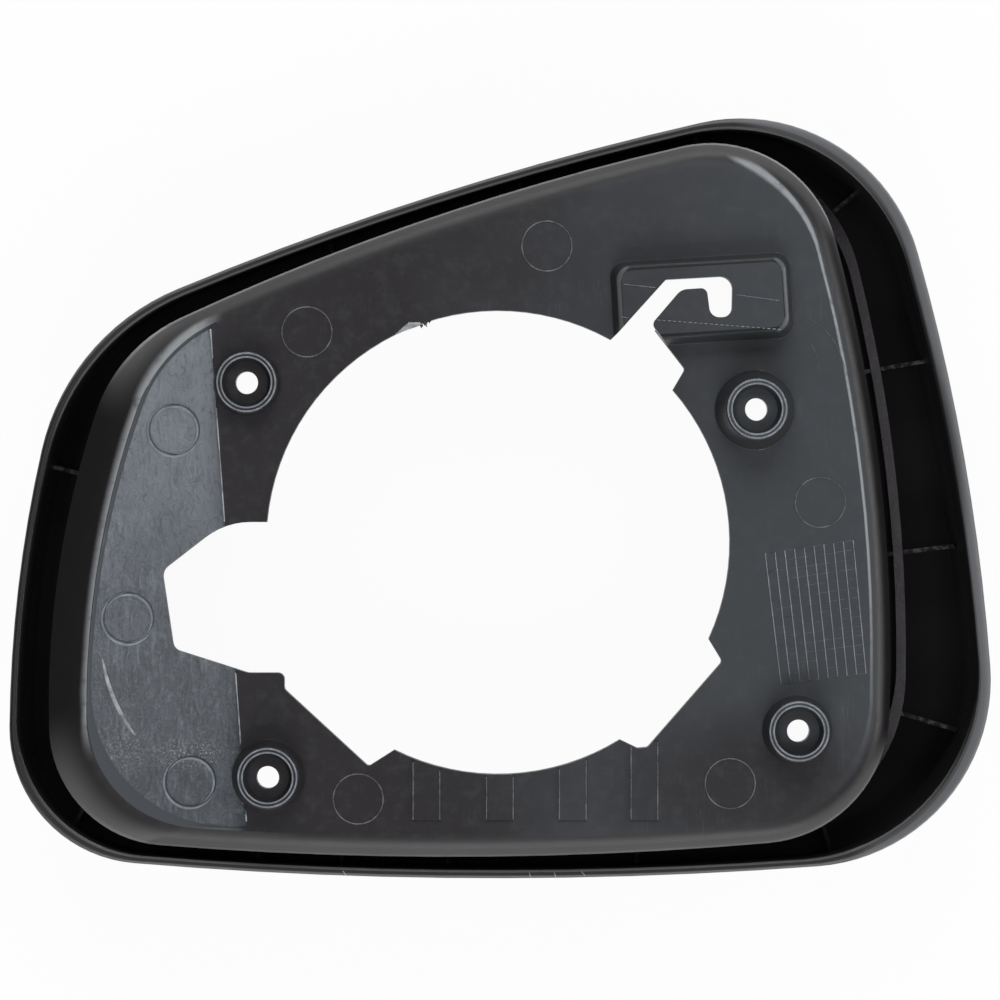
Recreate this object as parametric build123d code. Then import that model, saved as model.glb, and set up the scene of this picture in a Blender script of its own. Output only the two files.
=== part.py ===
from build123d import *
import math
import os

# Back frame of a car door mirror: one moulding in black plastic.
# Millimetres. The front lip, which faces the driver, lies on Z = 0, +Z points to the
# back of the mirror, +X to the wide end, and X = Y = 0 is the middle of the part's box.

# Rim of the outer skirt at its back edge: sharp corners, then how far each side bows out,
# then the corner roundings. Sides run bottom, right, top, left.
rim_low_left = (-117.2, -84.8)
rim_low_right = (119.6, -84.3)
rim_high_right = (88.0, 98.9)
rim_high_left = (-102.9, 40.0)
rim_bows = (6.7, 8.6, 6.4, 6.3)
rim_low_left_radius = 32.7
rim_low_right_radius = 45.1
rim_high_right_radius = 44.3
rim_high_left_radius = 55.2

# Skirt: its wall, and how much wider than the rim it is at the front.
skirt_wall = 2.0
skirt_wall_right = 3.3
front_growth = 0.5
front_radius = 4.0
front_steps = 3
rim_round_height = 1.2
rim_round = 0.8
rim_round_right = 2.4
rim_round_steps = 2
rim_inner_chamfer = 0.5
floor_thickness = 2.5
lip_chamfer = 0.8

# Heights, measured down from the plate that carries the screws.
plate_height = 30.0
plate_thickness = 2.5
cut_margin = 1.0
rim_drop = 2.5
tray_edge_drop = 4.0
ledge_drop = 15.0
rib_drop = 16.0

# Tray inside the skirt: where its corners lie from those of the rim.
tray_low_left_shift = (10.5, 3.8)
tray_low_right_shift = (-27.7, 4.3)
tray_high_right_shift = (-15.9, -7.8)
tray_high_left_shift = (11.3, -3.0)
tray_bows = (5.6, 9.8, 6.1, 8.0)
tray_low_left_radius = 29.0
tray_low_right_radius = 32.0
tray_high_right_radius = 31.0
tray_high_left_radius = 38.5
tray_wall = 2.5
tray_corner_lead = 1.2

# Plate: how far its edge lies inside the tray's edge on each side.
plate_insets = (4.4, 3.6, 4.0, 9.0)
plate_corner_step = 3.0
shoulder_start = 0.45
shoulder_reach = 2.2
shoulder_steps = 3
plate_lead = 0.8

# Ledge outside the tray's right wall, with a slot between the two.
ledge_reach = 5.2
ledge_strip_width = 2.3
ledge_slot_depth = 5.0
ledge_low_radius = 40.0
ledge_high_radius = 38.0
well_wall = 2.2

# Gusset ribs across the groove: middle of the rib and the way it runs, in degrees.
rib_thickness = 1.0
rib_reach = 20.0
ribs = (
    (82.4, 71.2, 39.0),
    (94.8, 32.4, 10.0),
    (101.5, -12.5, 7.0),
    (102.6, -53.6, -17.0),
    (80.0, -82.0, -75.0),
    (33.5, -88.0, -90.0),
    (-12.7, -88.6, -90.0),
    (-38.9, -88.1, -90.0),
    (-59.3, -87.4, -90.0),
    (-102.6, -76.1, -115.0),
    (-106.0, 7.2, 165.0),
    (-41.3, 61.5, 107.0),
    (5.0, 76.5, 107.0),
    (48.5, 87.2, 105.0),
)

# Opening in the plate: a round hole with a lobe and notches, and a hooked slot.
opening_centre = (-0.5, -10.2)
opening_radius = 55.7
lobe_points = (
    (-40.0, -5.3),
    (-66.1, -5.3),
    (-81.2, -17.0),
    (-78.4, -35.8),
    (-60.5, -41.5),
    (-51.8, -41.5),
    (-51.8, -45.4),
    (-31.6, -64.0),
    (-25.0, -59.8),
    (-20.0, -40.0),
)
lobe_radii = (0.0, 18.0, 3.0, 2.4, 4.0, 1.6, 1.6, 0.9, 0.6, 0.0)
notch_points = (
    (30.0, -25.0),
    (50.0, -33.2),
    (53.4, -38.8),
    (35.4, -59.4),
    (33.0, -59.6),
    (28.4, -57.4),
    (22.0, -44.0),
)
notch_radii = (0.0, 0.6, 1.2, 1.2, 1.2, 0.6, 0.0)
hook_points = (
    (24.0, 36.0),
    (28.4, 40.2),
    (39.6, 52.6),
    (55.5, 53.5),
    (55.3, 43.6),
    (50.2, 43.6),
    (49.3, 50.6),
    (43.2, 50.2),
    (36.2, 42.0),
    (44.4, 31.4),
    (41.6, 26.6),
    (36.0, 18.0),
)
hook_radii = (0.0, 0.5, 0.8, 3.0, 2.4, 2.4, 1.6, 3.4, 1.6, 0.9, 0.8, 0.0)

# Raised pad round the hooked slot.
pad_centre = (48.4, 48.0)
pad_length = 43.4
pad_width = 20.8
pad_turn = 3.5
pad_height = 4.5
pad_slope = 1.6
pad_corner_radius = 3.6
pad_edge_radius = 1.0
pad_edge_steps = 2
pad_wall = 2.2

# Screw bosses: place, height over the plate and flare at the foot for each.
boss_places = ((-60.7, 28.1), (61.1, 21.6), (71.3, -55.2), (-55.5, -66.3))
boss_heights = (3.0, 7.0, 5.0, 5.0)
boss_flares = (0.6, 2.2, 1.0, 1.4)
boss_radius = 7.5
boss_land = 1.5
boss_dish_depth = 2.0
boss_dish_slope = 0.9
boss_edge_chamfer = 0.5
boss_core_gap = 2.0
screw_seat = 2.5
screw_radius = 2.7

# Shallow textured field at the narrow end of the plate.
field_depth = 0.9
field_rim_inset = 0.6
field_floor_inset = 1.6
field_floor_radius = 33.0
field_line_top = (-69.6, 42.7)
field_line_bottom = (-60.7, -79.4)

# Four low lands under the opening.
land_centres = (-17.7, -0.1, 17.4, 34.6)
land_width = 6.4
land_bottom = -76.8
land_top = -58.0
land_height = 0.3

# Values worked out from those above.
rim_height = plate_height - rim_drop
tray_edge_height = plate_height - tray_edge_drop
ledge_height = plate_height - ledge_drop
rib_height = plate_height - rib_drop
shelf_height = ledge_height - ledge_slot_depth - well_wall
rim_corners = (rim_low_left, rim_low_right, rim_high_right, rim_high_left)
rim_radii = (rim_low_left_radius, rim_low_right_radius, rim_high_right_radius, rim_high_left_radius)
skirt_walls = (skirt_wall, skirt_wall_right, skirt_wall, skirt_wall)
rim_rounds = (rim_round, rim_round_right, rim_round, rim_round)
tray_shifts = (tray_low_left_shift, tray_low_right_shift, tray_high_right_shift, tray_high_left_shift)
tray_corners = tuple((r[0] + s[0], r[1] + s[1]) for r, s in zip(rim_corners, tray_shifts))
tray_radii = (tray_low_left_radius, tray_low_right_radius, tray_high_right_radius, tray_high_left_radius)
plate_radii = tuple(radius - plate_corner_step for radius in tray_radii)


def side_circle(start, end, bow):
    """Centre and radius of the arc from start to end that bows out by bow."""
    chord = end - start
    half = chord.length / 2
    radius = (half**2 + bow**2) / (2 * bow)
    outward = Vector(chord.Y, -chord.X).normalized()
    return (start + end) * 0.5 - outward * (radius - bow), radius


def circles_meet(first, second, near):
    """The crossing of two circles that lies nearer to a point."""
    (centre_a, radius_a), (centre_b, radius_b) = first, second
    across = centre_b - centre_a
    span = across.length
    along = (radius_a**2 - radius_b**2 + span**2) / (2 * span)
    aside = math.sqrt(radius_a**2 - along**2)
    unit = across.normalized()
    normal = Vector(-unit.Y, unit.X)
    middle = centre_a + unit * along
    return min((middle + normal * aside, middle - normal * aside), key=lambda point: (point - near).length)


def arc_between(centre, start, end, radius):
    """The shorter arc about a centre from start to end."""
    middle = centre + ((start + end) * 0.5 - centre).normalized() * radius
    return ThreePointArc(start, middle, end)


def outline(corners, bows, radii, insets, height):
    """Face of four bowed sides, each moved in by its inset, joined by tangent corner arcs."""
    points = [Vector(x, y) for x, y in corners]
    sides = []
    for k in range(4):
        centre, radius = side_circle(points[k], points[(k + 1) % 4], bows[k])
        sides.append((centre, radius - insets[k]))
    turns = []
    for k in range(4):
        before, after = sides[k - 1], sides[k]
        shrunk_before = (before[0], before[1] - radii[k])
        shrunk_after = (after[0], after[1] - radii[k])
        centre = circles_meet(shrunk_before, shrunk_after, points[k])
        begin = before[0] + (centre - before[0]).normalized() * before[1]
        finish = after[0] + (centre - after[0]).normalized() * after[1]
        turns.append((centre, begin, finish))
    arcs = []
    for k in range(4):
        centre, begin, finish = turns[k]
        arcs.append(arc_between(centre, begin, finish, radii[k]))
        arcs.append(arc_between(sides[k][0], finish, turns[(k + 1) % 4][1], sides[k][1]))
    return Pos(0, 0, height) * make_face(Curve() + arcs)


def rim_outline(insets, height):
    """Outline of the skirt, each side moved in by its inset."""
    return outline(rim_corners, rim_bows, rim_radii, insets, height)


def tray_outline(insets, height, radii=tray_radii):
    """Outline that follows the tray's edge."""
    return outline(tray_corners, tray_bows, radii, insets, height)


def ledge_outline(inset, height):
    """Outline of the glass well, which stands out past the tray on the right only."""
    radii = (tray_low_left_radius, ledge_low_radius, ledge_high_radius, tray_high_left_radius)
    return tray_outline((inset, inset - ledge_reach, inset, inset), height, radii)


def even(inset):
    """The same inset for all four sides."""
    return (inset, inset, inset, inset)


def quarter_turns(radius, steps):
    """Sideways and upward distances along a quarter round, from its flat end."""
    angles = [math.pi / 2 * k / steps for k in range(steps + 1)]
    return [(radius * (1 - math.sin(a)), radius * (1 - math.cos(a))) for a in angles]


def skirt_block():
    """Solid inside the skirt's outer face: rounded front, drafted wall, rounded rim."""
    sections = []
    for inset, height in quarter_turns(front_radius, front_steps):
        growth = front_growth * (1 - height / rim_height)
        sections.append(rim_outline(even(inset - growth), height))
    for inset, drop in reversed(quarter_turns(1, rim_round_steps)):
        height = rim_height - rim_round_height * drop
        growth = front_growth * (1 - height / rim_height)
        sections.append(rim_outline(tuple(inset * r - growth for r in rim_rounds), height))
    return loft(sections, ruled=True)


def groove_block():
    """Space inside the skirt, from the lip's floor to the rim's chamfered inner edge."""
    mouth_height = rim_height - rim_inner_chamfer
    space = extrude(rim_outline(skirt_walls, floor_thickness), mouth_height - floor_thickness)
    mouth_walls = tuple(wall - rim_inner_chamfer for wall in skirt_walls)
    mouth = loft([rim_outline(skirt_walls, mouth_height), rim_outline(mouth_walls, rim_height)], ruled=True)
    return space + mouth


def tray():
    """Solid of the tray's outside: upright wall, sloping shoulder that rounds into a flat top."""
    foot = floor_thickness / 2
    upright = extrude(tray_outline(even(0), foot), tray_edge_height - foot)
    sections = [tray_outline(even(0), tray_edge_height)]
    for k in range(shoulder_steps + 1):
        along = k / shoulder_steps
        below = (1 - along) ** 2 * shoulder_start
        beyond = along**2 * shoulder_reach
        insets = tuple(inset * (1 - below) + beyond for inset in plate_insets)
        radii = tuple(r - plate_corner_step * (1 - below) for r in tray_radii)
        sections.append(tray_outline(insets, plate_height - tray_edge_drop * below, radii))
    return upright + loft(sections, ruled=True)


def ledge():
    """Wall of the glass well, with its slot beside the tray."""
    foot = floor_thickness / 2
    wall = extrude(ledge_outline(0, foot), ledge_height - foot)
    slot_face = ledge_outline(ledge_strip_width, ledge_height - ledge_slot_depth)
    return wall - extrude(slot_face, ledge_slot_depth)


def recess():
    """Hollow on the front side: the glass well with its eased lip, the tray's inside and shoulder."""
    insets = even(tray_wall)
    shoulder_foot = tray_edge_height - tray_corner_lead
    well = extrude(ledge_outline(well_wall, 0), shelf_height)
    lip = loft([ledge_outline(well_wall - lip_chamfer, 0), ledge_outline(well_wall, lip_chamfer)], ruled=True)
    upright = extrude(tray_outline(insets, 0), shoulder_foot)
    roof_insets = tuple(inset + plate_lead for inset in plate_insets)
    roof = tray_outline(roof_insets, plate_height - plate_thickness, plate_radii)
    shoulder = loft([tray_outline(insets, shoulder_foot), roof], ruled=True)
    return well + lip + upright + shoulder


def gussets():
    """Thin ribs that tie the skirt to the tray, cut off inside the skirt's wall."""
    foot = floor_thickness / 2
    rib = Box(rib_reach, rib_thickness, rib_height - foot, align=(Align.CENTER, Align.CENTER, Align.MIN))
    placed = [Pos(x, y, foot) * Rot(0, 0, turn) * rib for x, y, turn in ribs]
    limit = extrude(rim_outline(even(skirt_wall / 2), 0), rim_height)
    return [piece & limit for piece in placed]


def rounded_face(points, radii):
    """Closed face through corner points, each with its own rounding."""
    return make_face(FilletPolyline(*points, radius=radii, close=True))


def opening():
    """Cutter for the hole in the plate, its lobe, its notch and the hooked slot."""
    hole = Pos(*opening_centre) * Circle(opening_radius)
    face = hole + rounded_face(lobe_points, lobe_radii)
    face = face + rounded_face(notch_points, notch_radii)
    face = face + rounded_face(hook_points, hook_radii)
    foot = plate_height - plate_thickness - cut_margin
    return extrude(Pos(0, 0, foot) * face, plate_height + pad_height + cut_margin - foot)


def pad():
    """Raised pad with sloping sides, and the hollow under it."""
    place = Pos(pad_centre[0], pad_centre[1], plate_height) * Rot(0, 0, pad_turn)
    sections = [RectangleRounded(pad_length, pad_width, pad_corner_radius)]
    for inset, drop in reversed(quarter_turns(pad_edge_radius, pad_edge_steps)):
        shrink = pad_slope * (1 - drop / pad_height) + inset
        face = RectangleRounded(pad_length - 2 * shrink, pad_width - 2 * shrink, pad_corner_radius - inset)
        sections.append(Pos(0, 0, pad_height - drop) * face)
    block = loft(sections, ruled=True)
    core_length = pad_length - 2 * (pad_slope + pad_wall)
    core_width = pad_width - 2 * (pad_slope + pad_wall)
    core = extrude(Rectangle(core_length, core_width), pad_height + plate_thickness - pad_wall)
    return place * block, place * Pos(0, 0, -plate_thickness) * core


def boss(spot, height, flare):
    """Screw boss: a cone with a dished seat, with the hollow behind it and the screw hole."""
    upright = (Align.CENTER, Align.CENTER, Align.MIN)
    dish_radius = boss_radius - boss_land
    seat_height = height - boss_dish_depth
    foot_radius = boss_radius + flare
    profile = Polyline(
        (0, -field_depth),
        (foot_radius, -field_depth),
        (foot_radius, 0),
        (boss_radius, height - boss_edge_chamfer),
        (boss_radius - boss_edge_chamfer, height),
        (dish_radius, height),
        (dish_radius - boss_dish_slope, seat_height),
        (0, seat_height),
        close=True,
    )
    cone = revolve(make_face(Plane.XZ * profile), Axis.Z)
    core_height = plate_thickness + seat_height - screw_seat
    core = Cylinder(boss_radius - boss_core_gap, core_height, align=upright)
    hole = Cylinder(screw_radius, plate_thickness + height, align=upright)
    place = Pos(spot[0], spot[1], plate_height)
    return place * cone, place * Pos(0, 0, -plate_thickness) * (core + hole)


def field():
    """Cutter for the shallow textured field, left of a straight step."""
    rim_insets = tuple(inset + field_rim_inset for inset in plate_insets)
    floor_insets = tuple(inset + field_floor_inset for inset in plate_insets)
    floor_radii = (field_floor_radius, plate_radii[1], plate_radii[2], field_floor_radius)
    floor = tray_outline(floor_insets, plate_height - field_depth, floor_radii)
    mouth = tray_outline(rim_insets, plate_height, plate_radii)
    dish = loft([floor, mouth], ruled=True)
    far_left = rim_low_left[0] - rim_bows[3]
    side = Polyline(
        field_line_top,
        (far_left, field_line_top[1]),
        (far_left, field_line_bottom[1]),
        field_line_bottom,
        close=True,
    )
    return dish & extrude(Pos(0, 0, plate_height - field_depth) * make_face(side), field_depth)


def lands():
    """Low flat lands between the opening and the lower edge."""
    length = land_top - land_bottom
    block = Box(land_width, length, 2 * land_height)
    return [Pos(x, land_bottom + length / 2, plate_height) * block for x in land_centres]


def mirror_frame():
    """The whole moulding, with the middle of its box on X = Y = 0."""
    pad_block, pad_core = pad()
    bosses = [boss(*values) for values in zip(boss_places, boss_heights, boss_flares)]
    body = skirt_block() - groove_block() + tray() + ledge() + gussets()
    body = body - recess()
    body = body - field()
    body = body + lands() + pad_block + [cone for cone, hollow in bosses]
    body = body - opening() - pad_core - [hollow for cone, hollow in bosses]
    middle = body.bounding_box().center()
    return Pos(-middle.X, -middle.Y, 0) * body


os.makedirs("parts", exist_ok=True)
frame = mirror_frame()
export_step(frame, "parts/mirror_frame.step")
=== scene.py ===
import math
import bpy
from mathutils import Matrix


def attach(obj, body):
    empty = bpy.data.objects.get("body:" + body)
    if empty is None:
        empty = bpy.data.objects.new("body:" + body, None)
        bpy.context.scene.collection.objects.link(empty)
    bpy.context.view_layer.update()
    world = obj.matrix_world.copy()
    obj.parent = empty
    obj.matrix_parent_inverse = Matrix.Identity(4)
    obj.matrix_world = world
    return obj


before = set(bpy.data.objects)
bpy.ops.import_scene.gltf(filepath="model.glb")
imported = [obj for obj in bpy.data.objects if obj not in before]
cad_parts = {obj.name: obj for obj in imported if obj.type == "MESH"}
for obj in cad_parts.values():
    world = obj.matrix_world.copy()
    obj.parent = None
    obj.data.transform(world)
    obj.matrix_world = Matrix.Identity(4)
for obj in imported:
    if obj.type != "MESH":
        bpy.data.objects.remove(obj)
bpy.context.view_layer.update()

from types import SimpleNamespace

import bpy
import numpy as np
from bpy.props import FloatProperty, FloatVectorProperty, IntProperty, PointerProperty

bl_info = {
    "name": "Door Mirror Frame Looks",
    "version": (1, 0, 0),
    "blender": (4, 5, 0),
    "location": "View3D > Sidebar > Mirror Frame",
    "description": "Finish, moulding marks and studio for the back frame of a door mirror",
    "category": "Object",
}

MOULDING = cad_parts["mirror_frame"]
BODY = "root"
MM = 0.001

# Heights of the moulding's surfaces, in millimetres.
PLATE_HEIGHT = 30.0
FIELD_HEIGHT = 29.1
PAD_HEIGHT = 34.5
LAND_HEIGHT = 30.3
TRAY_EDGE_HEIGHT = 26.0
LEDGE_HEIGHT = 15.0
RIB_HEIGHT = 14.0
RIM_HEIGHT = 27.5

# The straight step between the plate and the etched field, and the runs of the painted highlight along it,
# clear of the bosses.
STEP_TOP = (-69.64, 42.25)
STEP_BOTTOM = (-60.74, -79.85)
STEP_HIGHLIGHT_RUNS = ((40.6, 33.6), (21.6, -5.6), (-41.9, -59.0), (-74.6, -77.6))

# Middles of the ejector pins' marks: on the plate and on the etched field.
PLATE_PINS = ((-46.4, 39.9), (-34.1, -72.2), (11.2, 60.5), (76.8, -1.0), (55.2, -68.5))
FIELD_PINS = ((-78.3, 16.4), (-89.3, -28.8), (-74.4, -68.1))

# Bare table moulded into the plate: its corners, lower left first, against the clock.
TABLE_CORNERS = ((67.4, -44.6), (87.8, -42.0), (84.7, -10.1), (63.6, -13.2))

# Side lines of the four lands under the opening: place across, upper end, lower end.
LAND_LINES = (
    (-20.9, -63.4, -77.1),
    (-14.5, -65.5, -77.1),
    (-3.3, -66.9, -77.1),
    (3.1, -66.9, -77.1),
    (14.2, -65.1, -77.1),
    (20.6, -62.9, -77.1),
    (31.4, -59.6, -77.1),
    (37.8, -58.6, -77.1),
)

# Opening: its middle, its radius, and the part of its edge that keeps some flash, in degrees.
OPENING_CENTRE = (-0.54, -10.65)
OPENING_RADIUS = 55.7
FLASH_SPAN = (111.0, 106.6)

# Pale chip of torn plastic at the opening's edge: its corners, against the clock.
CHIP_CORNERS = ((-25.3, 39.25), (-20.4, 41.0), (-18.6, 41.8), (-19.4, 42.2), (-22.0, 42.2))

# Screw bosses: their middles, with the height of the upper edge, and the radii of the painted highlight
# rings on each.
BOSS_TOPS = ((-60.7, 27.7, 33.0), (61.1, 21.2, 37.0), (71.3, -55.6, 35.0), (-55.5, -66.7, 35.0))
BOSS_HIGHLIGHT_RADII = (6.95, 6.05)

# Curved marks, each from its start over a point that bends it to its end.
# The crease is a real raised crease; its whitened colour is a painted highlight of its lit side.
CREASE = ((-95.6, -38.4), (-93.9, -49.4), (-87.6, -57.1))
FLOW_LINES = (
    ((72.6, 43.6), (80.6, 41.0), (83.0, 30.0)),
    ((73.6, 38.6), (76.0, 35.5), (76.6, 30.6)),
)
PAD_LINES = (
    ((29.6, 51.0), (37.0, 50.2)),
    ((56.4, 48.5), (66.6, 47.1)),
    ((29.0, 43.2), (30.6, 43.0)),
    ((37.4, 42.5), (67.4, 40.2)),
)

# Dashes of each line on the pad: how many, and the length of one as a share of the line.
PAD_DASHES = 24
DASH_SHARE = 0.026

# Nicks on the lower rim: height, and start and end of each.
NICK_HEIGHT = RIM_HEIGHT - 0.05
NICKS = (
    ((-37.9, -89.8), (-37.0, -91.0)),
    ((7.0, -90.2), (7.3, -91.2)),
    ((13.0, -90.1), (13.4, -91.2)),
    ((19.6, -90.0), (20.5, -91.0)),
)

# Width and height of marks that differ from the plain line or ring, as shares of it; the field's rings stand
# for painted shade and highlight, the boss rings and the step line are painted highlights.
FIELD_SHADE_RING_SHARES = (0.5, 2.0)
FIELD_HIGHLIGHT_SHARES = (1.0, 1.5)
BOSS_HIGHLIGHT_SHARES = (1.3, 0.25)
COLUMN_SHARES = (1.2, 1.0)
ROW_SHARES = (0.5, 0.5)
LAND_LINE_SHARES = (1.4, 1.0)
STEP_HIGHLIGHT_SHARES = (1.6, 0.5)

# Way from a field pin's mark to its pale ring, a painted highlight, and thickness of the flash, as shares of
# the ring and the line.
FIELD_HIGHLIGHT_SHIFT = (-0.4, -0.4, 0.0)
FLASH_SHARE = 2.0

# Patches of colour on the moulding: middle and reach of each.
DARK_PATCH = ((62.0, -70.0), (45.0, 26.0))
CHAFED_PATCH = ((-75.0, -61.5), (14.0, 5.5))
CREASED_PATCH = ((-90.0, -61.0), (9.0, 8.0))
DUSTY_PATCH = ((88.0, -78.0), (26.0, 18.0))
# The two corners are painted light on the shoulder.
LIT_CORNER_PATCHES = (((-81.0, 38.0), (26.0, 24.0)), ((-94.0, -74.0), (32.0, 26.0)))

# Ellipse outside which the rim of the wide end gets a painted highlight: middle and reach.
RIM_HIGHLIGHT_ELLIPSE = ((20.0, -10.0), (90.5, 110.0))

# Heights between which a colour comes in: painted highlight on the rim, painted shade in the groove, dust in
# the groove.
RIM_HIGHLIGHT_RISE = (20.0, 24.0)
GROOVE_SHADE_FALL = (22.5, 12.0)
DUST_FALL = (8.0, 6.0)

# Places across at which the painted highlights come in at the wide end and at the narrow end.
WIDE_HIGHLIGHT_START = (0.0, 30.0)
NARROW_HIGHLIGHT_START = (-66.0, -74.0)

# Length by which soft clouds push the border between two tones to and fro.
CLOUD_PUSH = 60.0

# Tones laid over the etched field: source, where each starts and is full, its share, its colour's share.
FIELD_TONES = (
    ("streak", 0.48, 0.72, 0.6, 1.6),
    ("streak", 0.48, 0.30, 0.5, 0.6),
    ("etch", 0.50, 0.72, 0.5, 1.7),
    ("lumps", 0.52, 0.70, 0.4, 1.7),
    ("lumps", 0.48, 0.30, 0.4, 0.5),
)

# Pale lines and painted highlights: share of the field's colour that etched ones have, and darkest and
# palest tone of a line.
ETCHED_SHARE = 1.6
ETCHED_DARKEST = 0.8
RUBBED_DARKEST = 0.55
PALEST = 1.25

# Corners of the CAD's triangles that are closer than this are one, in metres.
MERGE_REACH = 2e-6

# Numbers of a mix node's sockets when it mixes colours: share and both colours, and the result.
MIX_INPUTS = (0, 6, 7)
MIX_RESULT = 2

# Softboxes: name, place, size, setting and share of the power, and if the part mirrors it; in metres.
SOFTBOXES = (
    ("high_main_lamp", (0.0, 1.05, 0.7), (1.2, 0.5), "main_power", 1.0, False),
    ("low_main_lamp", (0.0, -1.05, 0.7), (1.2, 0.5), "main_power", 1.0, False),
    ("high_side_lamp", (0.0, 1.2, 0.3), (1.2, 0.3), "side_power", 1.0, True),
    ("low_side_lamp", (0.0, -1.2, 0.3), (1.2, 0.3), "side_power", 1.0, True),
    ("wide_end_lamp", (1.2, 0.0, 0.35), (1.0, 0.3), "end_power", 1.0, True),
    ("narrow_end_lamp", (-0.45, 0.0, 1.15), (0.8, 0.12), "end_power", 0.1, True),
)

# Floor: grey of the lit share, and how much of the floor in view is plain white.
FLOOR_GREY = 0.9
FLOOR_WHITE_SHARE = 0.95

# Camera: its place over the part in metres, its sensor in millimetres and its nearest sight in metres.
CAMERA_PLACE = (-0.00004, -0.00045)
CAMERA_SENSOR = 36.0
CAMERA_NEAR = 0.01


class FinishSettings(bpy.types.PropertyGroup):
    """Colours and shading of the moulded plastic."""

    plate_colour: FloatVectorProperty(
        name="Plate", description="Colour of the smooth plate near the narrow end", subtype="COLOR",
        size=3, min=0.0, max=1.0, default=(0.028, 0.0255, 0.0285))
    wide_colour: FloatVectorProperty(
        name="Wide end", description="Colour of the smooth plate at the wide end", subtype="COLOR",
        size=3, min=0.0, max=1.0, default=(0.058, 0.063, 0.070))
    # Painted shade: the dark colour of all that lies under the plate and of the sloping raised faces.
    painted_shade_colour: FloatVectorProperty(
        name="Shoulder", description="Colour of the shoulder at both ends and of the rim",
        subtype="COLOR", size=3, min=0.0, max=1.0, default=(0.010, 0.0095, 0.0105))
    # Painted light: the pale colour of the shoulder along the high and low sides and at two corners.
    painted_light_colour: FloatVectorProperty(
        name="Pale shoulder", description="Colour of the shoulder at the high and the low side",
        subtype="COLOR", size=3, min=0.0, max=1.0, default=(0.120, 0.117, 0.118))
    rim_colour: FloatVectorProperty(
        name="Rim", description="Colour of the flat of the rim", subtype="COLOR", size=3,
        min=0.0, max=1.0, default=(0.030, 0.030, 0.032))
    field_colour: FloatVectorProperty(
        name="Etched field", description="Colour of the etched field at the narrow end", subtype="COLOR",
        size=3, min=0.0, max=1.0, default=(0.140, 0.154, 0.173))
    # Painted shade deep in the groove.
    groove_shade_colour: FloatVectorProperty(
        name="Groove", description="Colour deep in the groove", subtype="COLOR", size=3,
        min=0.0, max=1.0, default=(0.0115, 0.0113, 0.0120))
    # Also the colour of painted highlights on the rim, the pad's edges and the ribs.
    rubbed_and_highlight_colour: FloatVectorProperty(
        name="Rubbed edges", description="Colour of raised lines and edges that are rubbed pale",
        subtype="COLOR", size=3, min=0.0, max=1.0, default=(0.125, 0.130, 0.138))
    # Also the colour of the painted highlights on the plate's rounding and the tray's edge.
    white_and_highlight_colour: FloatVectorProperty(
        name="Whitened", description="Colour of stretched, whitened plastic", subtype="COLOR", size=3,
        min=0.0, max=1.0, default=(0.36, 0.38, 0.40))
    smooth_angle: FloatProperty(
        name="Smooth angle", description="Edges flatter than this are shaded smooth", subtype="ANGLE",
        min=0.0, max=math.pi, default=math.radians(50.0))


class MarkSettings(bpy.types.PropertyGroup):
    """Sizes of the raised marks of the mould."""

    pin_radius: FloatProperty(
        name="Pin mark radius", description="Radius of an ejector pin's ring", subtype="DISTANCE",
        unit="LENGTH", min=0.001, max=0.02, default=0.006)
    ring_width: FloatProperty(
        name="Ring width", description="Width of a pin mark's raised ring", subtype="DISTANCE",
        unit="LENGTH", min=0.0001, max=0.002, default=0.0003)
    ring_height: FloatProperty(
        name="Ring height", description="Height of a pin mark's raised ring", subtype="DISTANCE",
        unit="LENGTH", min=0.00002, max=0.001, default=0.00012)
    field_ring_width: FloatProperty(
        name="Etched ring width", description="Width of a pin mark's ring on the etched field",
        subtype="DISTANCE", unit="LENGTH", min=0.0001, max=0.003, default=0.0008)
    table_columns: IntProperty(
        name="Table columns", description="Columns of the bare table", min=1, max=30, default=9)
    table_rows: IntProperty(
        name="Table rows", description="Rows of the bare table", min=1, max=40, default=14)
    line_width: FloatProperty(
        name="Line width", description="Width of the raised lines", subtype="DISTANCE",
        unit="LENGTH", min=0.00005, max=0.002, default=0.00024)
    line_height: FloatProperty(
        name="Line height", description="Height of the raised lines", subtype="DISTANCE",
        unit="LENGTH", min=0.00002, max=0.001, default=0.00008)
    crease_width: FloatProperty(
        name="Crease width", description="Width of the crease on the etched field", subtype="DISTANCE",
        unit="LENGTH", min=0.0001, max=0.005, default=0.0011)
    flash_width: FloatProperty(
        name="Flash width", description="Widest part of the flash at the opening", subtype="DISTANCE",
        unit="LENGTH", min=0.0001, max=0.005, default=0.0014)


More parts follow.
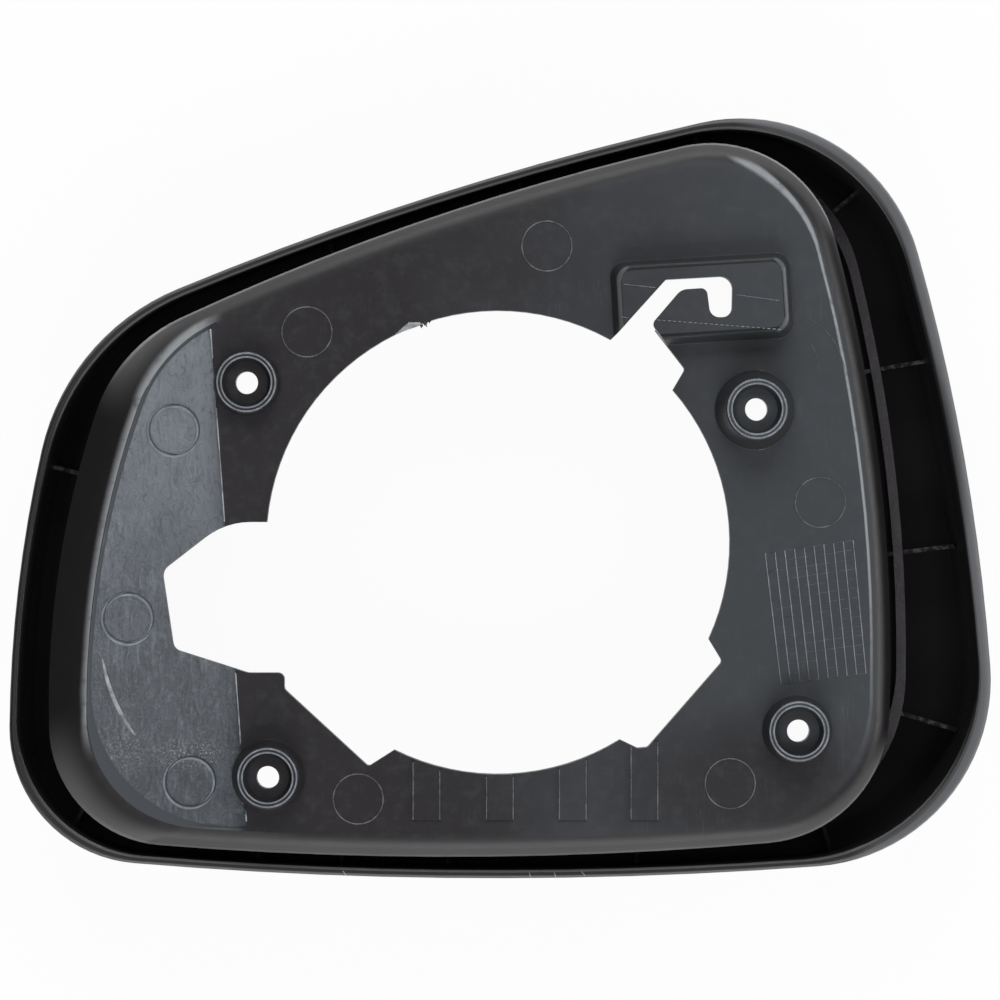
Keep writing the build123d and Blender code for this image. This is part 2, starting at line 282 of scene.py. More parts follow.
class StageSettings(bpy.types.PropertyGroup):
    """Floor, lamps and camera."""

    floor_size: FloatProperty(
        name="Floor size", description="Side of the square floor", subtype="DISTANCE", unit="LENGTH",
        min=0.5, max=20.0, default=6.0)
    floor_drop: FloatProperty(
        name="Floor drop", description="Depth of the floor under the part's lowest face", subtype="DISTANCE",
        unit="LENGTH", min=0.0, max=0.01, default=0.0002)
    camera_height: FloatProperty(
        name="Camera height", description="Height of the camera over the floor", subtype="DISTANCE",
        unit="LENGTH", min=0.1, max=5.0, default=0.73)
    camera_lens: FloatProperty(
        name="Lens", description="Focal length in millimetres", subtype="DISTANCE_CAMERA",
        min=10.0, max=300.0, default=105.0)
    main_power: FloatProperty(
        name="Main lamps", description="Power of each softbox that lights the plate", subtype="POWER",
        unit="POWER", min=0.0, max=500.0, default=11.0)
    side_power: FloatProperty(
        name="Side lamps", description="Power of each low softbox that the shoulder mirrors",
        subtype="POWER", unit="POWER", min=0.0, max=500.0, default=3.5)
    end_power: FloatProperty(
        name="End lamps", description="Power of the strip lamps over both ends", subtype="POWER",
        unit="POWER", min=0.0, max=500.0, default=6.0)
    sky_strength: FloatProperty(
        name="Room light", description="Strength of the even light from the room", min=0.0, max=5.0,
        default=0.08)


def settings(name):
    """The settings group of that name on the scene."""
    return getattr(bpy.context.scene, name)


def add_piece(name, vertices, faces, material):
    """Mesh object at the origin from arrays of points in metres and of corner numbers."""
    mesh = bpy.data.meshes.new(name)
    mesh.from_pydata(vertices.reshape(-1, 3).tolist(), [], list(faces))
    mesh.polygons.foreach_set("use_smooth", np.ones(len(mesh.polygons), bool))
    mesh.update()
    mesh.materials.append(material)
    piece = bpy.data.objects.new(name, mesh)
    bpy.context.scene.collection.objects.link(piece)
    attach(piece, BODY)


def rings(centres, radius, width, height, around=72, section=8):
    """Flat rings: circles of the radius about each centre, carried along by an ellipse.

    A point is centre + (radius + width/2 cos v)(cos u, sin u), raised by height sin v.
    """
    u = np.linspace(0, 2 * np.pi, around, endpoint=False)[None, :, None]
    v = np.linspace(0, 2 * np.pi, section, endpoint=False)[None, None, :]
    c = np.asarray(centres, float)[:, None, None, :]
    reach = radius + width / 2 * np.cos(v)
    x = c[..., 0] + reach * np.cos(u)
    y = c[..., 1] + reach * np.sin(u)
    z = c[..., 2] + height * np.sin(v) + 0 * u
    points = np.stack(np.broadcast_arrays(x, y, z), -1)
    n = len(centres)
    k, i, j = np.meshgrid(np.arange(n), np.arange(around), np.arange(section), indexing="ij")

    def corner(di, dj):
        return (k * around + (i + di) % around) * section + (j + dj) % section

    faces = np.stack((corner(0, 0), corner(1, 0), corner(1, 1), corner(0, 1)), -1).reshape(-1, 4)
    return points, faces


def ridges(starts, ends, width, height):
    """Straight ridges with a flat crest, each a closed block from start to end.

    Across the run a point lies at plus or minus half the width at the foot, which is sunk by the
    height, and at a quarter of the width at the crest, which stands up by the height.
    """
    a = np.asarray(starts, float)
    b = np.asarray(ends, float)
    along = (b - a)[:, :2] / np.linalg.norm((b - a)[:, :2], axis=1, keepdims=True)
    aside = np.stack((-along[:, 1], along[:, 0], 0 * along[:, 0]), -1)
    shares = np.array((-0.5, 0.5, 0.25, -0.25)) * width
    lifts = np.array((-1.0, -1.0, 1.0, 1.0)) * height
    points = np.stack((a, b), 1)[:, :, None, :] + aside[:, None, None, :] * shares[None, None, :, None]
    points[..., 2] += lifts
    block = np.array(((0, 3, 2, 1), (4, 5, 6, 7), (0, 1, 5, 4), (1, 2, 6, 5), (2, 3, 7, 6), (3, 0, 4, 7)))
    faces = (block[None] + 8 * np.arange(len(a))[:, None, None]).reshape(-1, 4)
    return points, faces


def strands(paths, width, height, stations=25, section=6):
    """Curved ridges that taper to a point at both ends.

    Each path is a start, a bending point and an end. A point on it is the blend
    (1-t)^2 start + 2t(1-t) bend + t^2 end, and the ellipse about it, width by height across the
    path, shrinks with the square root of sin(pi t).
    """
    p = np.asarray(paths, float)
    t = np.linspace(0, 1, stations)[None, :, None]
    line = (1 - t) ** 2 * p[:, None, 0] + 2 * t * (1 - t) * p[:, None, 1] + t**2 * p[:, None, 2]
    run = 2 * (1 - t) * (p[:, None, 1] - p[:, None, 0]) + 2 * t * (p[:, None, 2] - p[:, None, 1])
    flat = run[..., :2] / np.linalg.norm(run[..., :2], axis=-1, keepdims=True)
    aside = np.stack((-flat[..., 1], flat[..., 0], 0 * flat[..., 0]), -1)
    size = np.sqrt(np.maximum(np.sin(np.pi * t[..., 0]), 1e-4))
    v = np.linspace(0, 2 * np.pi, section, endpoint=False)
    reach = (width / 2 * size)[..., None] * np.cos(v)
    points = line[:, :, None, :] + aside[:, :, None, :] * reach[..., None]
    points[..., 2] += (height * size)[..., None] * np.sin(v)
    n = len(p)
    k, i, j = np.meshgrid(np.arange(n), np.arange(stations - 1), np.arange(section), indexing="ij")

    def corner(di, dj):
        return (k * stations + i + di) * section + (j + dj) % section

    sides = np.stack((corner(0, 0), corner(0, 1), corner(1, 1), corner(1, 0)), -1).reshape(-1, 4)
    first = np.arange(n)[:, None] * stations * section + np.arange(section)
    last = first + (stations - 1) * section
    return points, sides.tolist() + first[:, ::-1].tolist() + last.tolist()


def ragged_edge(centre, radius, span, level, width, thickness, stations=60):
    """Thin ragged sliver along an arc, pointed at both ends.

    At share t of the arc it reaches inward from the radius by width times sin(pi t), roughened by
    three waves, and its section is a rectangle of the thickness.
    """
    t = np.linspace(0, 1, stations)
    angle = np.radians(span[0] + (span[1] - span[0]) * t)
    rough = 0.55 + 0.3 * np.sin(23 * t) + 0.2 * np.sin(61 * t + 1) + 0.12 * np.sin(127 * t + 2)
    reach = width * np.sin(np.pi * t) * np.clip(rough, 0.08, None)
    inner = radius - reach
    outer = np.full_like(t, radius + thickness)
    low = level - thickness * (1.5 + np.sin(9 * t))
    high = low + thickness
    ring = np.stack((outer, inner, inner, outer), -1)
    tall = np.stack((low, low, high, high), -1)
    x = centre[0] + ring * np.cos(angle)[:, None]
    y = centre[1] + ring * np.sin(angle)[:, None]
    points = np.stack((x, y, tall), -1)
    i, j = np.meshgrid(np.arange(stations - 1), np.arange(4), indexing="ij")

    def corner(di, dj):
        return (i + di) * 4 + (j + dj) % 4

    sides = np.stack((corner(0, 0), corner(0, 1), corner(1, 1), corner(1, 0)), -1).reshape(-1, 4)
    ends = np.array(((3, 2, 1, 0), (0, 1, 2, 3))) + np.array(((0,), (4 * (stations - 1),)))
    return points, np.concatenate((sides, ends))


def slab(corners, thickness):
    """Flat slab: the corners, given against the clock, lowered and raised by half the thickness."""
    lift = np.array((0, 0, thickness / 2))
    points = np.concatenate((corners - lift, corners + lift))
    n = len(corners)
    k = np.arange(n)
    sides = np.stack((k, (k + 1) % n, (k + 1) % n + n, k + n), -1)
    return points, sides.tolist() + [k[::-1].tolist(), (k + n).tolist()]


def put(tree, value, socket):
    """Link a socket, or write a number or a colour, into an input."""
    if isinstance(value, bpy.types.NodeSocket):
        tree.links.new(value, socket)
    elif isinstance(value, (int, float)):
        socket.default_value = value
    else:
        socket.default_value = (*value, 1.0)


def maths(tree, operation, *values):
    """Math node on sockets or numbers; returns its output."""
    made = tree.nodes.new("ShaderNodeMath")
    made.operation = operation
    for socket, value in zip(made.inputs, values):
        put(tree, value, socket)
    return made.outputs[0]


def product(tree, *masks):
    """All the masks multiplied together."""
    total = masks[0]
    for mask in masks[1:]:
        total = maths(tree, "MULTIPLY", total, mask)
    return total


def shade(colour, share):
    """The colour times a share: darker under 1, paler over 1."""
    return [share * value for value in colour]


def mix_colour(tree, share, first, second):
    """Colour mix of two sockets or colours; returns its output."""
    made = tree.nodes.new("ShaderNodeMix")
    made.data_type = "RGBA"
    for value, place in zip((share, first, second), MIX_INPUTS):
        put(tree, value, made.inputs[place])
    return made.outputs[MIX_RESULT]


def ramp(tree, value, low, high):
    """Value taken from 0 at low to 1 at high, in a smooth curve; returns the output."""
    made = tree.nodes.new("ShaderNodeMapRange")
    made.interpolation_type = "SMOOTHSTEP"
    made.inputs["From Min"].default_value = low
    made.inputs["From Max"].default_value = high
    tree.links.new(value, made.inputs["Value"])
    return made.outputs["Result"]


def band(tree, value, start, full, fade, stop):
    """Mask that rises from 0 at the start to 1 when full, and falls back to 0 from fade to stop."""
    return product(tree, ramp(tree, value, start, full), ramp(tree, value, stop, fade))


def noise(tree, vector, scale, detail=2.0, rough=0.5, warp=0.0):
    """Noise value on a coordinate; returns its output."""
    made = tree.nodes.new("ShaderNodeTexNoise")
    made.inputs["Scale"].default_value = scale
    made.inputs["Detail"].default_value = detail
    made.inputs["Roughness"].default_value = rough
    made.inputs["Distortion"].default_value = warp
    tree.links.new(vector, made.inputs["Vector"])
    return made.outputs["Fac"]


def mapped(tree, vector, scale=(1, 1, 1), turn=0.0, shift=(0, 0, 0)):
    """Coordinate stretched, turned about Z and moved; returns the output."""
    made = tree.nodes.new("ShaderNodeMapping")
    made.inputs["Location"].default_value = shift
    made.inputs["Rotation"].default_value = (0, 0, turn)
    made.inputs["Scale"].default_value = scale
    tree.links.new(vector, made.inputs["Vector"])
    return made.outputs["Vector"]


def dot(tree, vector, direction):
    """Dot product of a vector socket with another one or with a fixed direction."""
    made = tree.nodes.new("ShaderNodeVectorMath")
    made.operation = "DOT_PRODUCT"
    tree.links.new(vector, made.inputs[0])
    if isinstance(direction, bpy.types.NodeSocket):
        tree.links.new(direction, made.inputs[1])
    else:
        made.inputs[1].default_value = direction
    return made.outputs["Value"]


def distance(tree, point, centre, reach):
    """Distance from a centre in shares of the reach, which differs along X and Y."""
    away = mapped(tree, point, (1 / reach[0], 1 / reach[1], 0),
                  shift=(-centre[0] / reach[0], -centre[1] / reach[1], 0))
    length = tree.nodes.new("ShaderNodeVectorMath")
    length.operation = "LENGTH"
    tree.links.new(away, length.inputs[0])
    return length.outputs["Value"]


def patch(tree, point, centre, reach):
    """Mask that is 1 at a centre and fades to 0 at the reach."""
    return ramp(tree, distance(tree, point, centre, reach), 1.0, 0.2)


def millimetres(tree):
    """Object coordinates in millimetres."""
    place = tree.nodes.new("ShaderNodeTexCoord").outputs["Object"]
    return mapped(tree, place, (1 / MM, 1 / MM, 1 / MM))


def grain_group():
    """Node group: mottle of moulded plastic and the normal of its fine grain."""
    tree = bpy.data.node_groups.new("plastic_grain", "ShaderNodeTree")
    tree.interface.new_socket("Extra Height", in_out="INPUT", socket_type="NodeSocketFloat")
    tree.interface.new_socket("Mottle", in_out="OUTPUT", socket_type="NodeSocketFloat")
    tree.interface.new_socket("Normal", in_out="OUTPUT", socket_type="NodeSocketVector")
    start = tree.nodes.new("NodeGroupInput")
    end = tree.nodes.new("NodeGroupOutput")
    point = millimetres(tree)
    mottle = noise(tree, point, 0.35, 5.0, 0.62)
    grain = noise(tree, point, 3.2, 3.0, 0.6)
    height = maths(tree, "MULTIPLY_ADD", grain, 0.014, start.outputs["Extra Height"])
    bump = tree.nodes.new("ShaderNodeBump")
    bump.inputs["Distance"].default_value = MM
    tree.links.new(height, bump.inputs["Height"])
    tree.links.new(mottle, end.inputs["Mottle"])
    tree.links.new(bump.outputs["Normal"], end.inputs["Normal"])
    return tree


def scratch_mask(tree, point, turn, thin, amount):
    """Mask of fine straight scratches that run at a turn: the crests of a stretched noise."""
    lines = noise(tree, mapped(tree, point, (thin, 0.03, 0.03), turn), scale=1.0, warp=0.3)
    crest = maths(tree, "ABSOLUTE", maths(tree, "SUBTRACT", lines, 0.5))
    fine = ramp(tree, crest, 0.012, 0.0)
    rare = noise(tree, mapped(tree, point, shift=(31, 7, 0)), scale=0.06)
    return product(tree, fine, ramp(tree, rare, 0.62 - amount, 0.72))


def surface_sockets(tree, texture):
    """What the masks are made from: the place in millimetres, the face's directions and the mottle."""
    point = millimetres(tree)
    parts = tree.nodes.new("ShaderNodeSeparateXYZ")
    tree.links.new(point, parts.inputs[0])
    x, y, z = parts.outputs
    geometry = tree.nodes.new("ShaderNodeNewGeometry")
    facing = geometry.outputs["True Normal"]
    rise = dot(tree, facing, (0, 0, 1))
    outwards = dot(tree, mapped(tree, facing, (1, 1, 0)), point)
    return SimpleNamespace(
        point=point,
        x=x,
        y=y,
        z=z,
        normal=geometry.outputs["Normal"],
        upward=ramp(tree, rise, 0.45, 0.6),
        level=ramp(tree, rise, 0.99, 0.998),
        inward=ramp(tree, outwards, 1.0, -1.0),
        mottle=texture.outputs["Mottle"],
    )


def field_masks(tree, at):
    """Mask of all that lies on the field's side of the step, and of the etched floor there."""
    run = np.subtract(STEP_BOTTOM, STEP_TOP)
    normal = np.array((run[1], -run[0])) / np.linalg.norm(run)
    beyond = maths(tree, "SUBTRACT", dot(tree, at.point, (*normal, 0)), float(normal @ STEP_TOP))
    beside = ramp(tree, beyond, -0.05, 0.1)
    floor = band(tree, at.z, FIELD_HEIGHT - 0.3, FIELD_HEIGHT - 0.1, FIELD_HEIGHT + 0.3, FIELD_HEIGHT + 0.45)
    return beside, product(tree, beside, floor, at.level)


def field_colour(tree, finish, at):
    """Colour of the etched field and the height of its texture."""
    stretched = mapped(tree, at.point, (0.9, 0.14, 0.4), 0.1)
    flattened = mapped(tree, at.point, (1, 0.7, 1), 0.3)
    sources = {
        "streak": noise(tree, stretched, scale=1.0, detail=5.0, rough=0.66, warp=0.8),
        "etch": noise(tree, at.point, scale=1.7, detail=4.0, rough=0.7),
        "lumps": noise(tree, flattened, scale=0.42, detail=5.0, rough=0.62, warp=1.6),
    }
    base = finish.field_colour
    cloud = noise(tree, at.point, scale=0.05, detail=3.0)
    upper = ramp(tree, maths(tree, "MULTIPLY_ADD", cloud, CLOUD_PUSH, at.y), -35.0, 95.0)
    colour = mix_colour(tree, upper, shade(base, 0.7), shade(base, 2.1))
    for source, start, full, share, tone in FIELD_TONES:
        mask = product(tree, ramp(tree, sources[source], start, full), share)
        colour = mix_colour(tree, mask, colour, shade(base, tone))
    speck = ramp(tree, noise(tree, at.point, scale=2.0, detail=3.0, rough=0.7), 0.53, 0.62)
    creased = product(tree, patch(tree, at.point, *CREASED_PATCH), 0.6)
    worn = product(tree, speck, maths(tree, "MAXIMUM", patch(tree, at.point, *CHAFED_PATCH), creased))
    colour = mix_colour(tree, worn, colour, finish.white_and_highlight_colour)
    relief = maths(tree, "MULTIPLY_ADD", sources["lumps"], 1.1, product(tree, sources["etch"], 0.45))
    return colour, relief


def plate_colour(tree, finish, at):
    """Colour of the smooth plate: brownish at the narrow end, bluish at the wide end, scratched."""
    cloud = noise(tree, at.point, scale=0.035, detail=3.0, rough=0.55)
    wide = ramp(tree, maths(tree, "MULTIPLY_ADD", cloud, CLOUD_PUSH, at.x), 0.0, 95.0)
    colour = mix_colour(tree, wide, finish.plate_colour, finish.wide_colour)
    dark = product(tree, patch(tree, at.point, *DARK_PATCH), 0.8)
    colour = mix_colour(tree, dark, colour, finish.plate_colour)
    pale = product(tree, ramp(tree, at.mottle, 0.45, 0.75), 0.16)
    colour = mix_colour(tree, pale, colour, shade(finish.wide_colour, 1.6))
    steep = scratch_mask(tree, at.point, math.radians(62), 1.7, 0.05)
    shallow = scratch_mask(tree, mapped(tree, at.point, shift=(13, 5, 0)), math.radians(-35), 1.4, 0.02)
    scratches = product(tree, maths(tree, "MAXIMUM", steep, shallow), 0.45)
    return mix_colour(tree, scratches, colour, finish.rubbed_and_highlight_colour)


def shoulder_layers(tree, finish, at, beside, colour):
    """Lay painted shade and painted light over the colour: painted shade on all under the plate, painted
    light on the shoulder along the high and low sides and at two corners.
    """
    # Painted shade on all that lies under the plate.
    under_plate_shade = ramp(tree, at.z, PLATE_HEIGHT - 0.05, PLATE_HEIGHT - 0.8)
    colour = mix_colour(tree, under_plate_shade, colour, finish.painted_shade_colour)
    # Painted light on the shoulder where it faces the high or low side or lies in a pale corner, growing
    # towards the tray's edge.
    sides = ramp(tree, maths(tree, "ABSOLUTE", dot(tree, at.normal, (0, 1, 0))), 0.12, 0.42)
    corners = maths(tree, "MAXIMUM", *(patch(tree, at.point, *corner) for corner in LIT_CORNER_PATCHES))
    lower = ramp(tree, at.z, PLATE_HEIGHT + 0.5, TRAY_EDGE_HEIGHT)
    pale = product(tree, maths(tree, "MAXIMUM", sides, corners), lower, at.upward)
    colour = mix_colour(tree, pale, colour, finish.painted_light_colour)
    above = ramp(tree, at.z, FIELD_HEIGHT - 0.5, FIELD_HEIGHT - 0.2)
    skin = product(tree, beside, at.upward, above, at.inward)
    return mix_colour(tree, skin, colour, shade(finish.field_colour, 0.5))


def rim_layers(tree, finish, at, colour):
    """Lay the rim over the colour: its flat, and a painted highlight on the outside of the wide end."""
    flat = band(tree, at.z, RIM_HEIGHT - 1.3, RIM_HEIGHT - 0.9, RIM_HEIGHT + 0.7, RIM_HEIGHT + 1.1)
    colour = mix_colour(tree, product(tree, flat, at.level), colour, finish.rim_colour)
    # Painted highlight on the outside of the rim at the wide end.
    outside = ramp(tree, distance(tree, at.point, *RIM_HIGHLIGHT_ELLIPSE), 0.99, 1.03)
    outward = maths(tree, "SUBTRACT", 1.0, at.inward)
    upper = ramp(tree, at.z, *RIM_HIGHLIGHT_RISE)
    rubbed = product(tree, outside, upper, outward, ramp(tree, at.x, *WIDE_HIGHLIGHT_START), 0.85)
    return mix_colour(tree, rubbed, colour, finish.rubbed_and_highlight_colour)


def pad_edge_highlights(tree, at):
    """Mask of the painted highlight on the pad's edges at both of its ends."""
    aside = maths(tree, "ABSOLUTE", dot(tree, at.normal, (1, 0, 0)))
    upper = band(tree, at.z, PAD_HEIGHT - 1.0, PAD_HEIGHT - 0.5, PAD_HEIGHT - 0.05, PAD_HEIGHT)
    ends = product(tree, upper, ramp(tree, aside, 0.1, 0.25), ramp(tree, at.y, 30.0, 33.0), 0.7)
    return product(tree, ends, ramp(tree, at.mottle, 0.0, 0.4))


def edge_highlights(tree, at):
    """Mask of painted highlights along edges: the plate's rounding at both ends and the tray's edge."""
    aside = dot(tree, at.normal, (1, 0, 0))
    ahead = dot(tree, at.normal, (0, 1, 0))
    crown = band(tree, at.z, PLATE_HEIGHT - 1.6, PLATE_HEIGHT - 0.5, PLATE_HEIGHT + 0.05, PLATE_HEIGHT + 0.2)
    wide = product(tree, band(tree, aside, 0.06, 0.12, 0.17, 0.25), ramp(tree, at.y, -68.0, -5.0),
                   ramp(tree, at.x, *WIDE_HIGHLIGHT_START), 0.8)
    narrow = product(tree, band(tree, aside, -0.32, -0.24, -0.14, -0.07), ramp(tree, at.y, -64.0, -50.0),
                     ramp(tree, at.x, *NARROW_HIGHLIGHT_START), 0.9)
    rounding = product(tree, crown, maths(tree, "MAXIMUM", wide, narrow))
    edge = band(tree, at.z, TRAY_EDGE_HEIGHT - 0.3, TRAY_EDGE_HEIGHT - 0.1,
                TRAY_EDGE_HEIGHT + 0.25, TRAY_EDGE_HEIGHT + 0.65)
    high_side = ramp(tree, ahead, 0.2, 0.5)
    low_side = product(tree, ramp(tree, ahead, -0.2, -0.5), 0.3)
    tray = product(tree, edge, maths(tree, "MAXIMUM", high_side, low_side), at.upward)
    return product(tree, maths(tree, "MAXIMUM", rounding, tray), ramp(tree, at.mottle, 0.1, 0.5))


def shelf_mask(tree, at, height):
    """Mask of the faces that look up and lie at one height."""
    return product(tree, at.upward, band(tree, at.z, height - 0.2, height - 0.1, height + 0.1, height + 0.2))


def groove_layers(tree, finish, at, deep, ledge, colour):
    """Lay the groove over the colour: painted shade on the deep walls, the ledge's top painted light with
    pale specks, a patchy painted highlight on the ribs' upper faces, flecks of dust.
    """
    colour = mix_colour(tree, deep, colour, finish.groove_shade_colour)
    # The ledge's top is painted light, at over three times the plate's colour, with paler specks.
    speck = ramp(tree, noise(tree, at.point, scale=1.1, detail=5.0, rough=0.75), 0.52, 0.8)
    strip = mix_colour(tree, speck, shade(finish.plate_colour, 3.2), finish.rubbed_and_highlight_colour)
    colour = mix_colour(tree, ledge, colour, strip)
    # Patchy painted highlight on the ribs' upper faces.
    patchiness = ramp(tree, noise(tree, at.point, scale=0.5, detail=3.0), 0.42, 0.7)
    lit_rib_tops = product(tree, shelf_mask(tree, at, RIB_HEIGHT), patchiness, 0.6)
    colour = mix_colour(tree, lit_rib_tops, colour, finish.rubbed_and_highlight_colour)
    cells = tree.nodes.new("ShaderNodeTexVoronoi")
    cells.inputs["Scale"].default_value = 0.22
    tree.links.new(at.point, cells.inputs["Vector"])
    flecks = product(tree, ramp(tree, cells.outputs["Distance"], 0.055, 0.035), at.upward,
                     ramp(tree, at.z, *DUST_FALL), patch(tree, at.point, *DUSTY_PATCH))
    return mix_colour(tree, flecks, colour, finish.white_and_highlight_colour)


def new_plastic(name, grain):
    """New material with the grain on its normal: the material, its tree, its shader and the grain's node."""
    material = bpy.data.materials.new(name)
    material.use_nodes = True
    tree = material.node_tree
    shader = tree.nodes["Principled BSDF"]
    texture = tree.nodes.new("ShaderNodeGroup")
    texture.node_tree = grain
    tree.links.new(texture.outputs["Normal"], shader.inputs["Normal"])
    return material, tree, shader, texture


def moulded_plastic(finish, grain):
    """Black plastic: satin plate, pale etched field, painted shade under the plate, on sloping raised faces
    and deep in the groove, painted light and highlights on the shoulder and edges, scratches and grain.
    """
    material, tree, shader, texture = new_plastic("moulded_black_plastic", grain)
    at = surface_sockets(tree, texture)
    beside, field = field_masks(tree, at)
    etched, relief = field_colour(tree, finish, at)
    # Painted shade on the faces deep in the groove.
    deep = product(tree, ramp(tree, at.z, *GROOVE_SHADE_FALL), maths(tree, "MAXIMUM", at.upward, at.inward))
    ledge = shelf_mask(tree, at, LEDGE_HEIGHT)

    # The layers of colour, from the plate upward.
    colour = plate_colour(tree, finish, at)
    colour = shoulder_layers(tree, finish, at, beside, colour)
    colour = rim_layers(tree, finish, at, colour)
    # Painted shade on the sloping faces of the bosses and the pad.
    raised = ramp(tree, at.z, PLATE_HEIGHT + 0.25, PLATE_HEIGHT + 0.6)
    shaded_slopes = product(tree, raised, maths(tree, "SUBTRACT", 1.0, at.level), 0.75)
    colour = mix_colour(tree, shaded_slopes, colour, finish.painted_shade_colour)
    # Painted highlights on the pad's edges, the plate's rounding and the tray's edge.
    colour = mix_colour(tree, pad_edge_highlights(tree, at), colour, finish.rubbed_and_highlight_colour)
    colour = mix_colour(tree, edge_highlights(tree, at), colour, finish.white_and_highlight_colour)
    colour = mix_colour(tree, field, colour, etched)
    colour = groove_layers(tree, finish, at, deep, ledge, colour)
    tree.links.new(colour, shader.inputs["Base Color"])

    # Satin all over, glossier deep in the groove, with relief on the field and the ledge.
    satin = maths(tree, "MULTIPLY_ADD", at.mottle, 0.2, 0.34)
    tree.links.new(maths(tree, "MULTIPLY_ADD", deep, -0.3, satin), shader.inputs["Roughness"])
    height = product(tree, relief, maths(tree, "MAXIMUM", field, ledge))
    tree.links.new(height, texture.inputs["Extra Height"])
    return material


def pale_plastic(name, colour, grain, darkest):
    """Plastic that is rubbed or stretched pale, or that paints a highlight, down to a share of its colour
    where it is darkest.
    """
    material, tree, shader, texture = new_plastic(name, grain)
    mottle = ramp(tree, texture.outputs["Mottle"], 0.35, 0.65)
    tone = mix_colour(tree, mottle, shade(colour, darkest), shade(colour, PALEST))
    tree.links.new(tone, shader.inputs["Base Color"])
    shader.inputs["Roughness"].default_value = 0.5
    return material


def smooth_by_angle(angle):
    """Geometry nodes that close the loose triangles and keep only edges over the angle sharp."""
    tree = bpy.data.node_groups.new("close_and_smooth", "GeometryNodeTree")
    tree.interface.new_socket("Geometry", in_out="INPUT", socket_type="NodeSocketGeometry")
    tree.interface.new_socket("Geometry", in_out="OUTPUT", socket_type="NodeSocketGeometry")
    start = tree.nodes.new("NodeGroupInput")
    end = tree.nodes.new("NodeGroupOutput")
    merge = tree.nodes.new("GeometryNodeMergeByDistance")
    merge.inputs["Distance"].default_value = MERGE_REACH
    faces = tree.nodes.new("GeometryNodeSetShadeSmooth")
    edges = tree.nodes.new("GeometryNodeSetShadeSmooth")
    edges.domain = "EDGE"
    edges.inputs["Shade Smooth"].default_value = False
    turn = tree.nodes.new("GeometryNodeInputMeshEdgeAngle")
    sharp = tree.nodes.new("FunctionNodeCompare")
    sharp.operation = "GREATER_THAN"
    sharp.inputs["B"].default_value = angle
    tree.links.new(turn.outputs["Unsigned Angle"], sharp.inputs["A"])
    tree.links.new(start.outputs[0], merge.inputs["Geometry"])
    tree.links.new(merge.outputs["Geometry"], faces.inputs["Geometry"])
    tree.links.new(faces.outputs["Geometry"], edges.inputs["Geometry"])
    tree.links.new(sharp.outputs["Result"], edges.inputs["Selection"])
    tree.links.new(edges.outputs["Geometry"], end.inputs[0])
    return tree


def at_level(points, level):
    """Points in millimetres on one level, as an array in metres."""
    flat = np.asarray(points, float)
    return np.concatenate((flat, np.full((*flat.shape[:-1], 1), level)), -1) * MM


def sized(width, height, shares):
    """Width and height, each times its share."""
    return width * shares[0], height * shares[1]


def white_floor():
    """White floor: a part of it is lit by the lamps and keeps the shadow, the rest is plain white."""
    material = bpy.data.materials.new("white_floor")
    material.use_nodes = True
    tree = material.node_tree
    tree.nodes.clear()
    out = tree.nodes.new("ShaderNodeOutputMaterial")
    lit = tree.nodes.new("ShaderNodeBsdfDiffuse")
    lit.inputs["Color"].default_value = (FLOOR_GREY, FLOOR_GREY, FLOOR_GREY, 1)
    plain = tree.nodes.new("ShaderNodeEmission")
    plain.inputs["Strength"].default_value = 1.0
    rays = tree.nodes.new("ShaderNodeLightPath")
    seen = maths(tree, "MAXIMUM", rays.outputs["Is Camera Ray"], rays.outputs["Is Glossy Ray"])
    mixed = tree.nodes.new("ShaderNodeMixShader")
    tree.links.new(product(tree, seen, FLOOR_WHITE_SHARE), mixed.inputs[0])
    tree.links.new(lit.outputs[0], mixed.inputs[1])
    tree.links.new(plain.outputs[0], mixed.inputs[2])
    tree.links.new(mixed.outputs[0], out.inputs["Surface"])
    return material


def add_floor(size, drop):
    """Square white floor, a little under the part's lowest face."""
    half = size / 2
    corners = [(-half, -half, -drop), (half, -half, -drop), (half, half, -drop), (-half, half, -drop)]
    mesh = bpy.data.meshes.new("floor")
    mesh.from_pydata(corners, [], [(0, 1, 2, 3)])
    mesh.materials.append(white_floor())
    floor = bpy.data.objects.new("floor", mesh)
    bpy.context.scene.collection.objects.link(floor)


def add_softbox(name, place, size, power, gleam):
    """Rectangular lamp that points at the middle of the part; without gleam it isn't mirrored."""
    data = bpy.data.lights.new(name, "AREA")
    data.shape = "RECTANGLE"
    data.size, data.size_y = size
    data.energy = power
    lamp = bpy.data.objects.new(name, data)
    lamp.location = place
    aim = -lamp.location
    lamp.rotation_euler = aim.to_track_quat("-Z", "Y").to_euler()
    lamp.visible_camera = False
    lamp.visible_glossy = gleam
    bpy.context.scene.collection.objects.link(lamp)


def light_room(strength):
    """Even white light from the room."""
    scene = bpy.context.scene
    scene.world = scene.world or bpy.data.worlds.new("room")
    scene.world.use_nodes = True
    background = scene.world.node_tree.nodes["Background"]
    background.inputs["Color"].default_value = (1, 1, 1, 1)
    background.inputs["Strength"].default_value = strength


def add_camera(height, lens):
    """Camera straight over the part, looking down."""
    data = bpy.data.cameras.new("camera")
    data.lens = lens
    data.sensor_width = CAMERA_SENSOR
    data.clip_start = CAMERA_NEAR
    camera = bpy.data.objects.new("camera", data)
    camera.location = (*CAMERA_PLACE, height)
    bpy.context.scene.collection.objects.link(camera)
    bpy.context.scene.camera = camera


